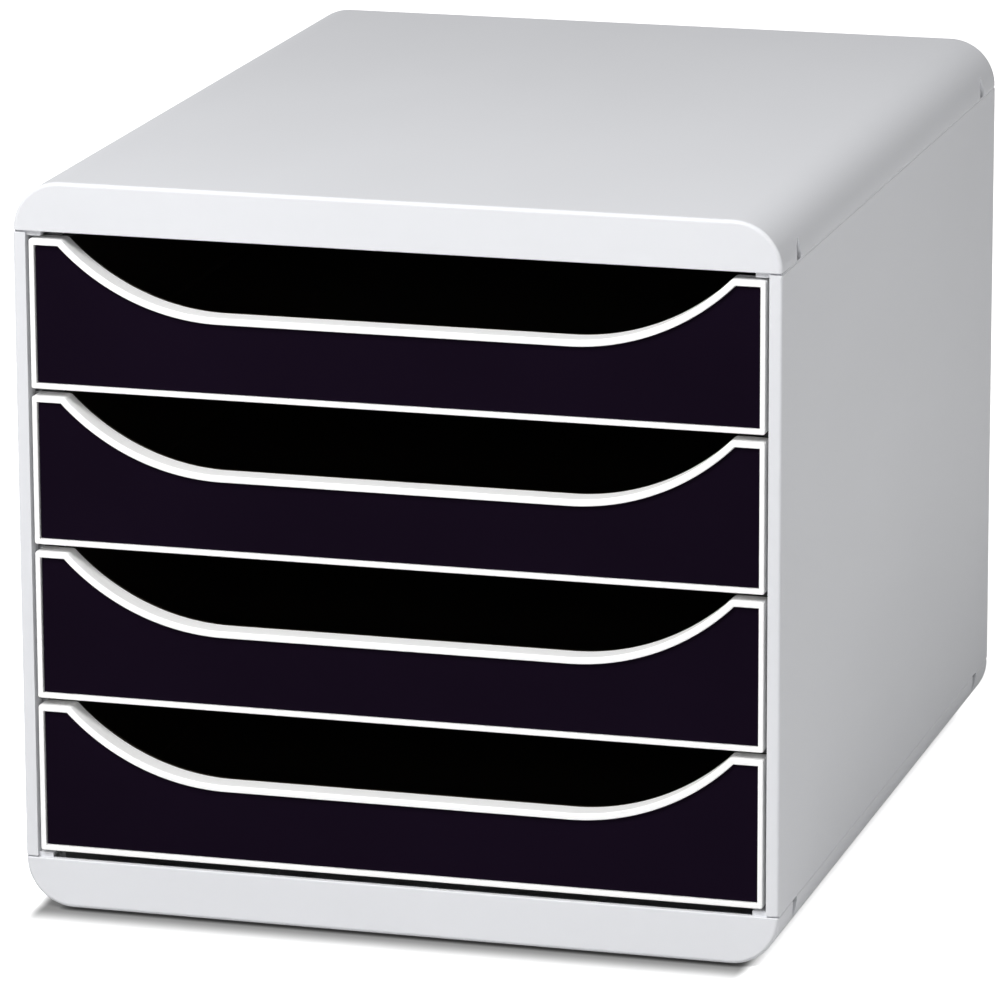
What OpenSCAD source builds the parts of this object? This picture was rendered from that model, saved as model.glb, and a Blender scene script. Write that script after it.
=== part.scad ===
// Letter tray stack: a casing of two caps, two side panels and a back panel,
// with four pull-out drawers that have scooped fronts.
// Millimetres. X runs left to right, Y front to back, Z up. The origin is on the
// surface that the stack stands on, below the middle of the casing.

/* [Casing] */
// Width of the casing, side to side
casing_w = 278; // [268:1:300]
// Depth of the casing, front to back
casing_d = 347; // [335:1:380]
// Height of each cap, from its edge to the seam with the side panels
cap_h = 18; // [17:0.5:24]
// Radius of the casing's four long corners
corner_r = 17.5; // [12:0.5:17.5]
// Thickness of the caps, side panels and back panel
wall = 2.5; // [2:0.1:3]
// Width of a side panel's front and rear edge
pillar_w = 4.6; // [4:0.1:5]
// Depth of a side panel's front and rear edge
pillar_d = 7.5; // [7:0.5:9]
// Thickness of a side panel's top and bottom flange
flange_t = 1.8; // [1.4:0.1:2]
// Height of the shadow groove along the seams
seam_h = 0.6; // [0.3:0.1:0.8]
// Depth of the shadow groove at the front and the rear
seam_front = 1.6; // [0.3:0.1:2]
// Depth of the shadow groove on the sides
seam_side = 0.2; // [0.1:0.1:0.8]
// Width of a side panel's top and bottom flange, over the wall
flange_w = 9.8; // [9:0.1:12]

/* [Fronts] */
// Height of a drawer's front
front_h = 54; // [52:0.5:60]
// Gap between one front and the next, and above the top one
front_gap = 2.75; // [2.5:0.05:4]
// Gap between the lowest front and the bottom cap
base_gap = 3; // [2.5:0.1:5]
// Gap between a front and the side panels
side_gap = 1.2; // [1:0.1:1.5]
// Depth of the frame round a front
frame_d = 8.5; // [8:0.5:10]
// Width of the frame's rim at the sides and the foot
rim_w = 1.9; // [1.5:0.1:3]
// Width of the frame's rim on the two flat shoulders
rim_shoulder = 2.2; // [1.5:0.1:3]
// Width of the frame's rim along the scoop
rim_scoop = 2.5; // [2:0.1:4]
// Width of the ledge that the front panel rests on
ledge_w = 2.6; // [2:0.1:4]
// Thickness of the front panel
panel_t = 2.5; // [2:0.1:2.6]
// How far the front panel lies behind the rim
panel_recess = 1.2; // [0.8:0.1:1.6]

/* [Scoop] */
// Length of the scoop's flat bottom
scoop_flat = 126.2; // [100:1:128]
// Radius of the scoop's two rising ends
scoop_r = 81; // [76:0.5:84]
// Height of the scoop's flat bottom above the foot of the front
scoop_z = 29.5; // [27:0.5:34]

/* [Trays] */
// Thickness of a tray's walls
tray_wall = 2; // [1.6:0.1:2.4]
// Thickness of a tray's floor
tray_floor = 2; // [1.6:0.1:2.4]
// Height of a tray's walls above the foot of its front
tray_h = 50; // [48:0.5:50]
// Height of a tray's underside above the foot of its front
tray_lift = 1.5; // [1:0.1:2]
// Radius of a tray's rear corners
tray_corner_r = 7; // [4:0.5:10]
// Distance that a drawer pulls out
travel = 260; // [200:5:265]

/* [Runners] */
// Thickness of a tray's runner
runner_t = 2; // [1.6:0.1:2.4]
// Thickness of a side panel's rail
rail_t = 2.5; // [2:0.1:2.5]
// Slack between a runner and the rail that carries it
runner_slack = 0.3; // [0.2:0.05:0.5]
// Slack between a runner and the rail above it
runner_lift = 0.5; // [0.4:0.05:0.8]

/* [Feet] */
// Radius of a foot
foot_r = 8; // [6:0.5:12]
// Height of a foot below the casing
foot_show = 1; // [0.8:0.1:2]
// Depth of a foot's pocket in the bottom cap
foot_sink = 1.5; // [1:0.1:1.6]

/* [Hidden] */
$fn = 96;
eps = 0.1; // overlap that joins two shapes, or carries a cut past a face

// Casing heights, from the surface up.
drawer_count = 4;
pitch = front_h + front_gap;
opening_h = base_gap + drawer_count * pitch;
bottom_seam = foot_show + cap_h;
top_seam = bottom_seam + opening_h;
front_y = -casing_d / 2;
rear_y = casing_d / 2;

// The clips that hold the caps on the side panels.
clip_y = 149; // distance of the clips from the middle of the casing
clip_stem = [1.7, 8, 6.5];
clip_barb = [1.2, 8, 1.2];
clip_x = casing_w / 2 - 7.8;
catch_size = [3, 10, 1.8]; // ledge in the cap that a clip's barb hooks over
catch_z = 3.4;
notch_size = [6, 6, 2.2]; // notch through the cap's edge, beside a clip
recess_w = 5; // the flat recess above a notch
recess_depth = 1.5;

// The ribs inside a cap.
rib_t = 2;
rib_h = 4;
rib_x = [-62, 0, 62];
rib_y = [-58, 58];

// The back panel and the grooves that hold it.
back_slack = 0.2;
back_rear = rear_y - wall - back_slack;
back_front = back_rear - wall;
back_tongue = 7; // how far the panel goes up and down into the caps

// Fronts.
front_half_w = casing_w / 2 - pillar_w - side_gap;
frame_back = front_y + frame_d;
panel_front = front_y + panel_recess;
panel_back = panel_front + panel_t;
panel_slack = 0.15;
window_side = rim_w + ledge_w; // how far the frame's window is drawn in from its outline
window_shoulder = rim_shoulder + ledge_w;
window_scoop = rim_scoop + ledge_w;
wall_inset = 0.3; // how far the tray's front wall lies inside the frame's outline
pad_t = 1.5; // the pad on the tray's front wall that the frame is located by
pad_slack = 0.2;
peg_r = 2.5;
peg_slack = 0.1;
peg_places = [[-112, 24], [-44, 13], [44, 13], [112, 24]];

// Trays and their runners.
rail_reach = 7.2; // how far a rail stands in from the side panel's wall
tray_gap = 1; // between a tray's wall and the rails
tray_half_w = casing_w / 2 - wall - rail_reach - tray_gap;
tray_front = frame_back;
tray_inside_front = tray_front + tray_wall;
tray_rear = rear_y - 8.5;
runner_half_w = front_half_w + 0.4;
ear_half_w = casing_w / 2 - wall - 0.6;
stop_slack = 1;
ear_front = front_y + pillar_d + travel + stop_slack; // the ears meet the front pillars
rail_front = tray_inside_front + 0.5;
rail_rear = tray_rear + 0.5;

// Feet.
foot_x = 108;
foot_y = 138;

casing_colour = [0.82, 0.82, 0.83];
frame_colour = [0.96, 0.96, 0.95];
panel_colour = [0.08, 0.06, 0.09];
tray_colour = [0.06, 0.05, 0.05];
foot_colour = [0.18, 0.18, 0.18];

// Height of the foot of a drawer's front; drawer 1 is the top one.
function drawer_z(number) = bottom_seam + base_gap + (drawer_count - number) * pitch;

// Extrudes an outline drawn in X and Z from y0 back to y1.
module along_y(y0, y1) {
    translate([0, y1, 0]) rotate([90, 0, 0]) linear_extrude(y1 - y0) children();
}

// A block from its lowest corner to its highest one.
module block(low, high) {
    translate(low) cube(high - low);
}

// A rectangle with round corners, made of squares and circles so that its arcs stay true.
module round_rectangle(low, high, r) {
    translate([low.x + r, low.y]) square([high.x - low.x - 2 * r, high.y - low.y]);
    translate([low.x, low.y + r]) square([high.x - low.x, high.y - low.y - 2 * r]);
    for (x = [low.x + r, high.x - r], y = [low.y + r, high.y - r])
        translate([x, y]) circle(r);
}

// The same child on the left and on the right.
module both_sides() {
    children();
    mirror([1, 0, 0]) children();
}

// The same child at the front and at the rear.
module both_ends() {
    children();
    mirror([0, 1, 0]) children();
}

// Section of a cap, drawn up from its edge and drawn in by inset.
module cap_section(inset, below = 0) {
    half_w = casing_w / 2;
    r = corner_r - inset;
    arc_z = cap_h - corner_r;
    arc_x = half_w - corner_r;
    translate([-arc_x, -below]) square([2 * arc_x, cap_h - inset + below]);
    translate([-half_w + inset, -below]) square([2 * (half_w - inset), arc_z + below]);
    intersection() {
        for (x = [-arc_x, arc_x]) translate([x, arc_z]) circle(r);
        translate([-half_w, -below]) square([2 * half_w, cap_h + below]);
    }
}

// A cap with its edge at height 0 and its flat face up.
module cap() {
    inner_y = casing_d / 2 - wall;
    difference() {
        union() {
            difference() {
                along_y(-casing_d / 2, casing_d / 2) cap_section(0);
                along_y(-inner_y, inner_y) cap_section(wall, eps);
            }
            for (x = rib_x)
                block([x - rib_t / 2, -inner_y - eps, cap_h - wall - rib_h],
                      [x + rib_t / 2, inner_y + eps, cap_h - wall + eps]);
            for (y = rib_y)
                block([-casing_w / 2 + corner_r, y - rib_t / 2, cap_h - wall - rib_h],
                      [casing_w / 2 - corner_r, y + rib_t / 2, cap_h - wall + eps]);
            both_sides() both_ends()
                translate([clip_x + clip_stem.x + 0.2, clip_y - catch_size.y / 2, catch_z])
                    cube(catch_size);
        }
        // The recess runs up until the round corner curves in behind it.
        both_sides() both_ends() {
            translate([casing_w / 2 - notch_size.x + eps, clip_y - notch_size.y / 2, -eps])
                cube([notch_size.x, notch_size.y, notch_size.z + eps]);
            translate([casing_w / 2 - recess_depth, clip_y - recess_w / 2, -eps])
                cube([recess_depth + eps, recess_w, corner_r / 2]);
        }
    }
}

module top_cap() {
    color(casing_colour) translate([0, 0, top_seam]) cap();
}

module bottom_cap() {
    color(casing_colour)
        difference() {
            translate([0, 0, bottom_seam]) mirror([0, 0, 1]) cap();
            both_sides() both_ends()
                translate([foot_x, foot_y, foot_show - eps])
                    cylinder(r = foot_r + 0.2, h = foot_sink + eps);
        }
}

// Clip that stands on a side panel's flange and hooks behind the catch in the cap.
module clip() {
    translate([clip_x, clip_y - clip_stem.y / 2, -eps])
        cube(clip_stem + [0, 0, eps]);
    translate([clip_x + clip_stem.x - eps, clip_y - clip_barb.y / 2, clip_stem.z - clip_barb.z])
        cube(clip_barb + [eps, 0, 0]);
}

// The two rails that a drawer's runner slides between.
module rail_pair(number) {
    runner_z = drawer_z(number) + tray_h - runner_t;
    outer = casing_w / 2 - wall + eps;
    inner = casing_w / 2 - wall - rail_reach;
    block([inner, rail_front, runner_z - runner_slack - rail_t],
          [outer, rail_rear, runner_z - runner_slack]);
    block([inner, rail_front, runner_z + runner_t + runner_lift],
          [outer, rail_rear, runner_z + runner_t + runner_lift + rail_t]);
}

// Shadow groove round a side panel's outer edge, where it meets a cap.
module seam_line(z) {
    reach = casing_d / 2;
    translate([0, 0, z - seam_h])
        linear_extrude(2 * seam_h) {
            translate([casing_w / 2 - seam_side, -reach - eps])
                square([seam_side + eps, casing_d + 2 * eps]);
            for (y = [-reach - eps, reach - seam_front])
                translate([casing_w / 2 - flange_w - eps, y])
                    square([flange_w + 2 * eps, seam_front + eps]);
        }
}

// Right-hand side panel.
module side_panel() {
    half_w = casing_w / 2;
    difference() {
        union() {
            block([half_w - wall, front_y, bottom_seam], [half_w, rear_y, top_seam]);
            both_ends()
                block([half_w - pillar_w, front_y, bottom_seam],
                      [half_w - wall + eps, front_y + pillar_d, top_seam]);
            for (z = [bottom_seam, top_seam - flange_t])
                block([half_w - flange_w, front_y, z], [half_w - wall + eps, rear_y, z + flange_t]);
            for (number = [1 : drawer_count]) rail_pair(number);
            both_ends() {
                translate([0, 0, top_seam]) clip();
                translate([0, 0, bottom_seam]) mirror([0, 0, 1]) clip();
            }
        }
        // Groove in the rear edge for the back panel.
        block([half_w - pillar_w - eps, back_front - back_slack, bottom_seam + flange_t],
              [half_w - wall, back_rear + back_slack, top_seam - flange_t]);
        for (z = [bottom_seam, top_seam]) seam_line(z);
    }
}

module side_panel_right() {
    color(casing_colour) side_panel();
}

module side_panel_left() {
    color(casing_colour) mirror([1, 0, 0]) side_panel();
}

// Back panel, held in the side panels' grooves, with a tongue up and down into the caps.
module back_panel() {
    half_w = casing_w / 2 - wall - back_slack;
    tongue_half_w = casing_w / 2 - flange_w - 0.3;
    color(casing_colour)
        along_y(back_front, back_rear) {
            translate([-half_w, bottom_seam + flange_t + back_slack])
                square([2 * half_w, opening_h - 2 * (flange_t + back_slack)]);
            translate([-tongue_half_w, bottom_seam - back_tongue])
                square([2 * tongue_half_w, opening_h + 2 * back_tongue]);
        }
}

module foot(x, y) {
    color(foot_colour) translate([x, y, 0]) cylinder(r = foot_r, h = foot_show + foot_sink);
}

// The space above the scoop's edge, with the edge drawn in by inset.
module scoop(inset) {
    r = scoop_r + inset;
    centre_z = scoop_z + scoop_r;
    translate([-scoop_flat / 2, scoop_z - inset]) square([scoop_flat, r]);
    for (x = [-scoop_flat / 2, scoop_flat / 2]) translate([x, centre_z]) circle(r, $fn = 192);
}

// Outline of a front, drawn in at the sides and foot, at the shoulders and along the scoop.
module front_outline(side, shoulder, along_scoop) {
    difference() {
        translate([-front_half_w + side, side])
            square([2 * (front_half_w - side), front_h - side - shoulder]);
        scoop(along_scoop);
    }
}

// Frame round a drawer's front: a rim, and a ledge behind it that the front panel rests on.
module front_frame(number) {
    color(frame_colour)
        translate([0, 0, drawer_z(number)])
            difference() {
                along_y(front_y, frame_back) front_outline(0, 0, 0);
                along_y(front_y - eps, panel_back) front_outline(rim_w, rim_shoulder, rim_scoop);
                along_y(front_y - eps, frame_back + eps)
                    front_outline(window_side, window_shoulder, window_scoop);
            }
}

// Front panel, set in the frame, with pegs that go through the tray's front wall.
module front_panel(number) {
    color(panel_colour)
        translate([0, 0, drawer_z(number)]) {
            along_y(panel_front, panel_back)
                front_outline(rim_w + panel_slack, rim_shoulder + panel_slack, rim_scoop + panel_slack);
            for (place = peg_places)
                along_y(panel_back - eps, tray_inside_front - 0.2)
                    translate(place) circle(peg_r);
        }
}

// Tray of a drawer: floor, walls, a scooped front wall with the pad that the frame fits over,
// and runners with ears that stop it.
module drawer_tray(number) {
    color(tray_colour)
        translate([0, 0, drawer_z(number)])
            difference() {
                union() {
                    translate([0, 0, tray_lift])
                        linear_extrude(tray_h - tray_lift)
                            intersection() {
                                round_rectangle([-tray_half_w, tray_front - tray_corner_r],
                                                [tray_half_w, tray_rear], tray_corner_r);
                                translate([-tray_half_w, tray_front])
                                    square([2 * tray_half_w, tray_rear - tray_front]);
                            }
                    along_y(tray_front, tray_inside_front)
                        front_outline(wall_inset, wall_inset, wall_inset);
                    along_y(tray_front - pad_t, tray_front + eps)
                        front_outline(window_side + pad_slack, window_shoulder + pad_slack,
                                      window_scoop + pad_slack);
                    both_sides() {
                        block([tray_half_w - tray_wall / 2, tray_front, tray_h - runner_t],
                              [runner_half_w, tray_rear - tray_corner_r, tray_h]);
                        block([tray_half_w - tray_wall / 2, ear_front, tray_h - runner_t],
                              [ear_half_w, tray_rear - tray_corner_r, tray_h]);
                    }
                }
                translate([0, 0, tray_lift + tray_floor])
                    linear_extrude(tray_h)
                        round_rectangle([-tray_half_w + tray_wall, tray_inside_front],
                                        [tray_half_w - tray_wall, tray_rear - tray_wall],
                                        tray_corner_r - tray_wall);
                along_y(front_y, tray_inside_front + eps) scoop(wall_inset);
                for (place = peg_places)
                    along_y(tray_front - pad_t - eps, tray_inside_front + eps)
                        translate(place) circle(peg_r + peg_slack);
            }
}

top_cap();
bottom_cap();
side_panel_left();
side_panel_right();
back_panel();
foot(-foot_x, -foot_y);  // foot_front_left
foot(foot_x, -foot_y);  // foot_front_right
foot(-foot_x, foot_y);  // foot_rear_left
foot(foot_x, foot_y);  // foot_rear_right
drawer_tray(1);  // drawer_tray_1
front_frame(1);  // front_frame_1
front_panel(1);  // front_panel_1
drawer_tray(2);  // drawer_tray_2
front_frame(2);  // front_frame_2
front_panel(2);  // front_panel_2
drawer_tray(3);  // drawer_tray_3
front_frame(3);  // front_frame_3
front_panel(3);  // front_panel_3
drawer_tray(4);  // drawer_tray_4
front_frame(4);  // front_frame_4
front_panel(4);  // front_panel_4
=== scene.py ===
import math

import bmesh
import bpy
from mathutils import Matrix, Vector


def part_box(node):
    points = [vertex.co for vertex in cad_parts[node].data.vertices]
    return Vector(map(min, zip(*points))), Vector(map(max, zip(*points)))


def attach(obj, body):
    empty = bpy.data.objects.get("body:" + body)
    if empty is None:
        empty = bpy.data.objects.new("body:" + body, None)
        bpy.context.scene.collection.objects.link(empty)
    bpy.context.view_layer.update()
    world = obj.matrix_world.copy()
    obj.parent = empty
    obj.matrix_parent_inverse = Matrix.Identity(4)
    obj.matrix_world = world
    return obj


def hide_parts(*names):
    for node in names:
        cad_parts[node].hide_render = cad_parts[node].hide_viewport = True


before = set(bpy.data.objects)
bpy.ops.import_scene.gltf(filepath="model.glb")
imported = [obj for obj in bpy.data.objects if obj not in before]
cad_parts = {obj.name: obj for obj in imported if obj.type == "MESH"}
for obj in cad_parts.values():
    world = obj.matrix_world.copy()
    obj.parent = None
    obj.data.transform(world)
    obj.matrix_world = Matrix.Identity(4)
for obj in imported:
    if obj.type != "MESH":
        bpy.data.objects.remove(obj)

bl_info = {
    "name": "Letter Tray Stack",
    "version": (1, 0, 0),
    "blender": (4, 5, 0),
    "location": "View3D > Sidebar > Tray Stack",
    "description": "Models a desk casing with four scooped letter drawers",
    "category": "Object",
}

MM = 0.001
TOUCH = 0.00002  # how near two places are when they count as the same one
OVERLAP = 0.1 * MM  # how far two shapes run into each other where they are joined
PAST = MM  # how far a cutter runs past the surface that it opens
SHARP = math.radians(25)  # the least angle between two faces that counts as an edge
SOFT_FROM = math.radians(40)  # the least angle between two faces that soften() rounds
SMOOTH = math.radians(35)  # the greatest angle between two faces that is shaded smooth
CORNER_STEPS = 24  # segments round a long corner

CAP_LOW, CAP_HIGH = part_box("top_cap")
BASE_LOW, BASE_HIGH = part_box("bottom_cap")
BACK_LOW, BACK_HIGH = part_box("back_panel")
FOOT_LOW, FOOT_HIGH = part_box("foot_front_right")
FRAME_LOW, FRAME_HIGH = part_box("front_frame_1")
PANEL_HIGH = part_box("front_panel_1")[1]
TRAY_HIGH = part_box("drawer_tray_1")[1]

HALF_WIDTH = CAP_HIGH.x
FRONT_Y = CAP_LOW.y
REAR_Y = CAP_HIGH.y
TOP_SEAM = CAP_LOW.z
BOTTOM_SEAM = BASE_HIGH.z
CAP_HEIGHT = CAP_HIGH.z - CAP_LOW.z
FRONT_HEIGHT = FRAME_HIGH.z - FRAME_LOW.z
FRONT_HALF_WIDTH = FRAME_HIGH.x
FRAME_BACK = FRAME_HIGH.y
FOOT_MIDDLE = (FOOT_LOW + FOOT_HIGH) / 2
FOOT_RADIUS = (FOOT_HIGH.x - FOOT_LOW.x) / 2
DRAWERS = (1, 2, 3, 4)


def drawer_foot(number):
    """Height of the foot of a drawer's front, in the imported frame."""
    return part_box(f"front_frame_{number}")[0].z


# ---------------- settings


def length(name, description, millimetres):
    """A length that the user can change, given in millimetres."""
    return bpy.props.FloatProperty(
        name=name, description=description, default=millimetres * MM,
        min=0.0, precision=4, unit="LENGTH", subtype="DISTANCE",
    )


def colour(name, description, red, green, blue):
    """A linear colour that the user can change."""
    return bpy.props.FloatVectorProperty(
        name=name, description=description, default=(red, green, blue),
        size=3, min=0.0, max=1.0, subtype="COLOR",
    )


def share(name, description, default, most=1.0):
    """A plain number that the user can change."""
    return bpy.props.FloatProperty(
        name=name, description=description, default=default, min=0.0, max=most, precision=3
    )


def angle(name, description, degrees):
    """An angle that the user can change, given in degrees."""
    return bpy.props.FloatProperty(
        name=name, description=description, default=math.radians(degrees), precision=4,
        unit="ROTATION", subtype="ANGLE",
    )


class CasingShape(bpy.types.PropertyGroup):
    """Sizes of the caps, side panels, back panel and feet."""

    wall: length("Wall", "Thickness of the caps and side panels", 2.5)
    corner: length("Corner", "Radius of the four long corners", 17.5)
    edge: length("Edge", "Rounding of the caps' front and rear edges", 1.5)
    lip: length("Lip", "Rounding of the caps' edges at the seams", 0.4)
    post_edge: length("Post Edge", "Rounding of the side panels' outer upright edges", 1.0)
    soft: length("Soft", "Rounding of the small edges", 0.25)
    rib: length("Rib", "Thickness of the ribs inside a cap", 2.0)
    rib_height: length("Rib Height", "Height of the ribs inside a cap", 4.0)
    rib_x: length("Rib X", "Distance of the outer long ribs from the middle", 62.0)
    rib_y: length("Rib Y", "Distance of the cross ribs from the middle", 58.0)
    clip_y: length("Clip Y", "Distance of the clips from the middle of the casing", 149.0)
    clip_inset: length("Clip Inset", "Distance of a clip's stem from the side", 7.8)
    notch_width: length("Notch Width", "Width of the notch beside a clip", 6.0)
    notch_height: length("Notch Height", "Height of the notch beside a clip", 2.2)
    recess_width: length("Recess Width", "Width of the flat recess above a notch", 5.0)
    recess_depth: length("Recess Depth", "Depth of the flat recess at the notch", 1.5)
    post_width: length("Post Width", "Width of a side panel's front edge", 4.6)
    post_depth: length("Post Depth", "Depth of a side panel's front edge", 7.5)
    flange: length("Flange", "Thickness of a side panel's flanges", 1.8)
    flange_width: length("Flange Width", "Width of a side panel's flanges, over the wall", 9.8)
    seam: length("Seam", "Height of the shadow groove along the seams", 0.6)
    seam_front: length("Seam Front", "Depth of the shadow groove at the front and rear", 1.6)
    seam_side: length("Seam Side", "Depth of the shadow groove on the sides", 0.2)
    rail: length("Rail", "Thickness of a rail", 2.5)
    rail_reach: length("Rail Reach", "How far a rail stands in from the wall", 7.2)
    back_slack: length("Back Slack", "Slack of the back panel in its groove", 0.2)
    foot_hollow: length("Foot Hollow", "Depth of the dish in a foot's underside", 0.4)


class FrontShape(bpy.types.PropertyGroup):
    """Sizes of the drawers' frames and front panels."""

    rim: length("Rim", "Width of the frame's rim at the sides and the foot", 1.9)
    rim_shoulder: length("Rim Shoulder", "Width of the rim on the flat shoulders", 2.2)
    rim_scoop: length("Rim Scoop", "Width of the rim along the scoop", 2.5)
    ledge: length("Ledge", "Width of the ledge that the panel rests on", 2.6)
    recess: length("Recess", "How far the panel lies behind the rim", 1.2)
    panel: length("Panel", "Thickness of the front panel", 2.5)
    slack: length("Slack", "Slack between the panel and the rim", 0.15)
    corner: length("Corner", "Rounding of the frame's outer corners", 0.8)
    edge: length("Edge", "Rounding of the frame's front edges", 0.35)
    panel_edge: length("Panel Edge", "Rounding of the panel's front edges", 0.3)
    flat: length("Flat", "Length of the scoop's flat bottom", 126.2)
    scoop_radius: length("Scoop Radius", "Radius of the scoop's rising ends", 81.0)
    scoop_height: length("Scoop Height", "Height of the scoop's bottom above the foot", 29.5)
    peg: length("Peg", "Radius of the pegs behind the panel", 2.5)
    peg_hole: length("Peg Hole", "Radius of the holes that the pegs go through", 2.6)


class TrayShape(bpy.types.PropertyGroup):
    """Sizes of the drawers' trays."""

    wall: length("Wall", "Thickness of a tray's walls", 2.0)
    floor: length("Floor", "Thickness of a tray's floor", 2.0)
    lift: length("Lift", "Height of a tray's underside above the foot of its front", 1.5)
    height: length("Height", "Height of a tray's walls above the foot of its front", 50.0)
    corner: length("Corner", "Radius of a tray's rear corners", 7.0)
    fillet: length("Fillet", "Radius between a tray's floor and walls", 1.5)
    edge: length("Edge", "Rounding of a tray's top edges", 0.4)
    runner: length("Runner", "Thickness of a tray's runner", 2.0)
    runner_gap: length("Runner Gap", "Gap between a tray's wall and the rails", 1.0)
    wall_inset: length("Wall Inset", "How far the front wall lies inside the outline", 0.3)
    pad: length("Pad", "Thickness of the pad that the frame fits over", 1.5)
    pad_slack: length("Pad Slack", "Slack between the pad and the frame", 0.2)
    ear_length: length("Ear Length", "Length of the ears that stop a drawer", 62.5)


class Finish(bpy.types.PropertyGroup):
    """Colours of the plastics and the rubber."""

    casing: colour("Casing", "Light grey of the casing", 0.712, 0.719, 0.745)
    rim: colour("Rim", "Off-white of the drawers' frames", 0.95, 0.95, 0.945)
    panel: colour("Panel", "Black of the front panels", 0.0062, 0.0031, 0.009)
    tray: colour("Tray", "Black of the trays", 0.017, 0.0135, 0.0105)
    foot: colour("Foot", "Dark grey of the rubber feet", 0.035, 0.035, 0.037)
    floor: colour("Floor", "Grey of the floor for the light it throws back", 0.54, 0.54, 0.54)


class StageLook(bpy.types.PropertyGroup):
    """Camera and lights."""

    camera_x: length("Camera X", "Place of the camera across", 682.98)
    camera_y: bpy.props.FloatProperty(
        name="Camera Y", description="Place of the camera in depth", default=-2.41383,
        precision=4, unit="LENGTH", subtype="DISTANCE",
    )
    camera_z: length("Camera Z", "Height of the camera", 763.36)
    turn: angle("Turn", "Turn of the camera about the vertical", 16.045)
    tilt: angle("Tilt", "How far the camera looks down", 14.407)
    roll: angle("Roll", "Turn of the camera about its own axis", -0.239)
    lens: share("Lens", "Focal length of the camera in millimetres", 249.56, most=1000.0)
    key: share("Key", "Power of the high light at the front left", 34.0, most=1000.0)
    left: share("Left", "Power of the lower light at the front left", 12.0, most=1000.0)
    side: share("Side", "Power of the light on the right", 3.65, most=1000.0)
    low: share("Low", "Power of the low light near the camera", 6.0, most=1000.0)
    back: share("Back", "Power of the low light at the back left", 18.0, most=1000.0)
    sky: share("Sky", "Strength of the surrounding light", 0.1, most=10.0)
    floor_size: share("Floor Size", "Length of the floor's sides in metres", 16.0, most=100.0)
    floor_lift: share("Floor Lift", "Reflectance of the floor where seen", 1.0, most=10.0)
    floor_glow: share("Floor Glow", "White added to the floor where it is seen", 0.8)
    glow_near: length("Glow Near", "Distance from which that white grows", 700.0)
    glow_far: length("Glow Far", "Distance at which that white is full", 2200.0)
    floor_gloss: share("Floor Gloss", "Reflectance of the floor in reflections", 1.2, most=10.0)
    contact_reach: length("Contact Reach", "Width of the dark line at the object's foot", 2.0)
    shadow_front: length("Shadow Front", "How far the soft shadow reaches to the front", 28.0)
    shadow_side: length("Shadow Side", "How far the soft shadow reaches on the left", 8.0)
    shadow_inset: length("Shadow Inset", "How far under the object it starts", 7.0)
    shadow_darkest: share("Shadow Darkest", "How light the floor stays in that shadow", 0.14)


def settings(*names):
    """The scene's own groups of settings with these names."""
    return [getattr(bpy.context.scene, "stack_" + name) for name in names]


# ---------------- modelling helpers


def select_only(obj):
    """Selects an object alone and makes it active."""
    bpy.ops.object.select_all(action="DESELECT")
    obj.select_set(True)
    bpy.context.view_layer.objects.active = obj


def settle(obj):
    """Moves an object's place, turn and scale into its mesh."""
    select_only(obj)
    bpy.ops.object.transform_apply(location=True, rotation=True, scale=True)
    return obj


def add_block(low, high):
    """A block from its lowest corner to its highest one."""
    low, high = Vector(low), Vector(high)
    bpy.ops.mesh.primitive_cube_add(size=1, location=(low + high) / 2, scale=high - low)
    return settle(bpy.context.object)


def add_rod(centre, radius, depth, axis="Z", sides=48):
    """A rod about its centre, along one axis."""
    turns = {"Y": (math.pi / 2, 0, 0), "Z": (0, 0, 0)}
    bpy.ops.mesh.primitive_cylinder_add(
        vertices=sides, radius=radius, depth=depth, location=centre, rotation=turns[axis])
    return settle(bpy.context.object)


def edit(obj, kind, wanted):
    """Enters edit mode on an object with only the wanted sharp edges or faces selected."""
    select_only(obj)
    bpy.ops.object.mode_set(mode="EDIT")
    bpy.ops.mesh.select_mode(type=kind)
    bpy.ops.mesh.select_all(action="DESELECT")
    mesh = bmesh.from_edit_mesh(obj.data)
    if kind == "EDGE":
        for edge in mesh.edges:
            sharp = edge.calc_face_angle(0) > SHARP
            edge.select_set(sharp and wanted(edge.verts[0].co, edge.verts[1].co))
    else:
        for face in mesh.faces:
            face.select_set(wanted(face.calc_center_median(), face.normal))
    bmesh.update_edit_mesh(obj.data)


def leave():
    """Leaves edit mode."""
    bpy.ops.object.mode_set(mode="OBJECT")


def round_edges(obj, radius, segments, wanted):
    """Rounds the edges whose two ends pass a test."""
    edit(obj, "EDGE", wanted)
    bpy.ops.mesh.bevel(
        offset=radius, offset_type="OFFSET", segments=segments, profile=0.5,
        affect="EDGES", clamp_overlap=False,
    )
    leave()


def same(*values):
    """Whether all these lengths are the same."""
    return max(values) - min(values) < TOUCH


def along_y(a, b):
    """Whether an edge runs front to back."""
    return same(a.x, b.x) and same(a.z, b.z)


def along_z(a, b):
    """Whether an edge runs upwards."""
    return same(a.x, b.x) and same(a.y, b.y)


def apply_modifier(obj, kind, **values):
    """Adds a modifier with these values and applies it."""
    select_only(obj)
    modifier = obj.modifiers.new(kind.title(), kind)
    for name, value in values.items():
        setattr(modifier, name, value)
    bpy.ops.object.modifier_apply(modifier=modifier.name)


def combine(obj, operation, others):
    """Joins other solids to an object, or cuts them from it, and removes them."""
    for other in others:
        apply_modifier(obj, "BOOLEAN", operation=operation, object=other, solver="MANIFOLD")
        bpy.data.objects.remove(other)
    return obj


def join_solids(obj, *others):
    return combine(obj, "UNION", others)


def cut_solids(obj, *others):
    return combine(obj, "DIFFERENCE", others)


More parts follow.
